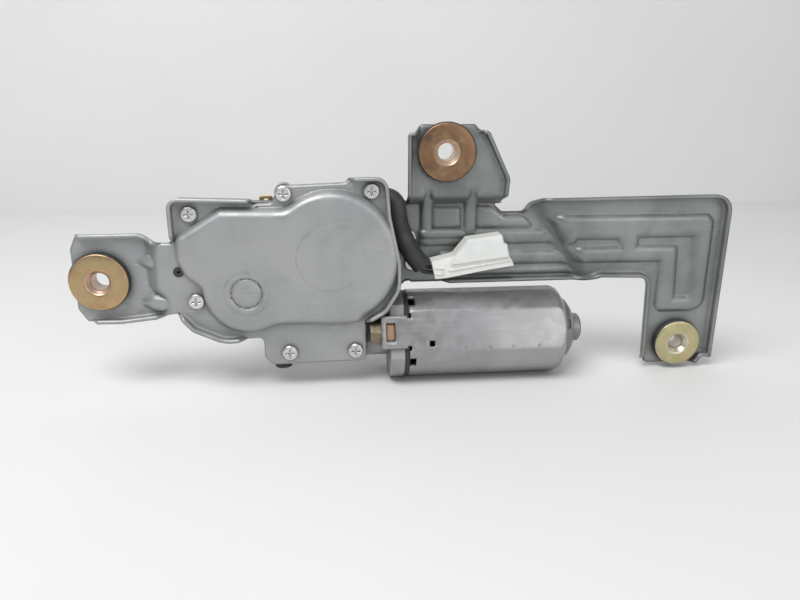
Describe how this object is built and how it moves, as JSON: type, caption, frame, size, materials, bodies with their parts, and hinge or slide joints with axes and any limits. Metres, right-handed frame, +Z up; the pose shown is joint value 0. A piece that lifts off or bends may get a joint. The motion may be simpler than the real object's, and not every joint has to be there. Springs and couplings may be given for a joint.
{
  "type": "wiper motor",
  "caption": "Rear wiper motor: geared drive with an oscillating output shaft, stamped cover, round motor with flats, and a stamped arm on rubber bushes.",
  "frame": {"origin": "on the output shaft's axis, at the middle of the wiper arm's seat", "axes": "+Y along the output shaft, the way the wiper arm comes off; the cover faces -Y; +X along the motor's axis, from the gearbox to the end cap; +Z up, from the right bush to the top bush"},
  "size_m": [0.3312, 0.0862, 0.1314],
  "materials": {
    "cover_steel": "zinc plated, scuffed",
    "gasket": "matt",
    "cast_alloy": "as cast",
    "screw_steel": "bright zinc",
    "black_rubber": "matt",
    "brass": "stamped",
    "arm_steel": "galvanised",
    "sleeve": "braided",
    "wire_black": "smooth",
    "connector": "moulded",
    "tin": "tinned",
    "can_steel": "bright zinc",
    "cap_steel": "bright zinc",
    "magnet": "sintered",
    "card": "moulded",
    "carbon": "pressed",
    "spring_steel": "drawn",
    "bolt_gold": "yellow zinc",
    "nut_copper": "copper flashed",
    "bronze": "sintered",
    "gear_steel": "sintered",
    "shaft_steel": "ground",
    "core_steel": "laminated",
    "copper": "enamelled",
    "wheel_plastic": "moulded",
    "washer_gold": "yellow zinc",
    "washer_bronze": "aged yellow zinc",
    "washer_green": "pale olive zinc",
    "grey_rubber": "matt"
  },
  "bodies": {
    "housing": {"cover_plate": "cover_steel", "cover_gasket": "gasket", "gear_housing": "cast_alloy", "cover_screws": "screw_steel", "vent_plug": "black_rubber", "drain_nozzle": "black_rubber", "earth_tab": "brass", "earth_rivet": "screw_steel", "arm_bracket": "arm_steel", "arm_screws": "screw_steel", "wire_grommet": "black_rubber", "wire_sleeve": "sleeve", "lead_wires": "wire_black", "connector_housing": "connector", "connector_terminals": "tin", "connector_clip": "connector", "motor_can": "can_steel", "end_cap": "cap_steel", "magnets": "magnet", "brush_card": "card", "carbon_brushes": "carbon", "brush_springs": "spring_steel", "motor_bolts": "bolt_gold", "motor_nuts": "nut_copper", "front_bearing": "bronze", "rear_bearing": "bronze", "nose_bush": "bronze", "thrust_pad": "gear_steel", "wheel_axle": "shaft_steel", "wheel_washers": "gear_steel", "park_switch_plate": "card", "park_switch_contacts": "brass", "shaft_seal": "black_rubber", "front_shaft_bush": "bronze", "rear_shaft_bush": "bronze", "pinion_washer": "gear_steel", "clip_washer": "gear_steel", "bush_sleeve_left": "washer_gold", "bush_sleeve_top": "washer_bronze", "bush_sleeve_right": "washer_green", "bush_rubber_left": "grey_rubber", "bush_rubber_top": "grey_rubber", "bush_rubber_right": "grey_rubber", "bush_washer_left": "washer_gold", "bush_washer_top": "washer_bronze", "bush_washer_right": "washer_green"},
    "armature": {"armature_shaft": "shaft_steel", "armature_core": "core_steel", "armature_windings": "copper", "commutator": "copper"},
    "wheel": {"worm_wheel": "wheel_plastic", "park_contact_ring": "brass"},
    "output": {"output_shaft": "shaft_steel", "output_pinion": "gear_steel", "shaft_circlip": "spring_steel"},
    "link": {"link_plate": "gear_steel"},
    "sector": {"sector_gear": "gear_steel", "pivot_pin": "shaft_steel", "crank_pin": "shaft_steel"}
  },
  "joints": [
    {"name": "armature_spin", "type": "hinge", "parent": "housing", "child": "armature", "pos_m": [0.1, -0.048, -0.029], "axis": [1, 0, 0], "continuous": true},
    {"name": "wheel_spin", "type": "hinge", "parent": "housing", "child": "wheel", "pos_m": [0.038, -0.048, 0.00562], "axis": [0, 1, 0], "continuous": true},
    {"name": "output_swing", "type": "hinge", "parent": "housing", "child": "output", "pos_m": [0, 0, 0], "axis": [0, 1, 0], "range_deg": [-55, 55]},
    {"name": "link_swing", "type": "hinge", "parent": "housing", "child": "link", "pos_m": [0, 0, 0], "axis": [0, 1, 0], "range_deg": [-11, 11]},
    {"name": "sector_swing", "type": "hinge", "parent": "link", "child": "sector", "pos_m": [0.00444, -0.0603, 0.02206], "axis": [0, 1, 0], "range_deg": [-22, 22]}
  ],
  "couplings": [
    {"joint": "wheel_spin", "follows": "armature_spin", "ratio": 0.019608},
    {"joint": "link_swing", "follows": "output_swing", "ratio": 0.2},
    {"joint": "sector_swing", "follows": "output_swing", "ratio": -0.4}
  ]
}
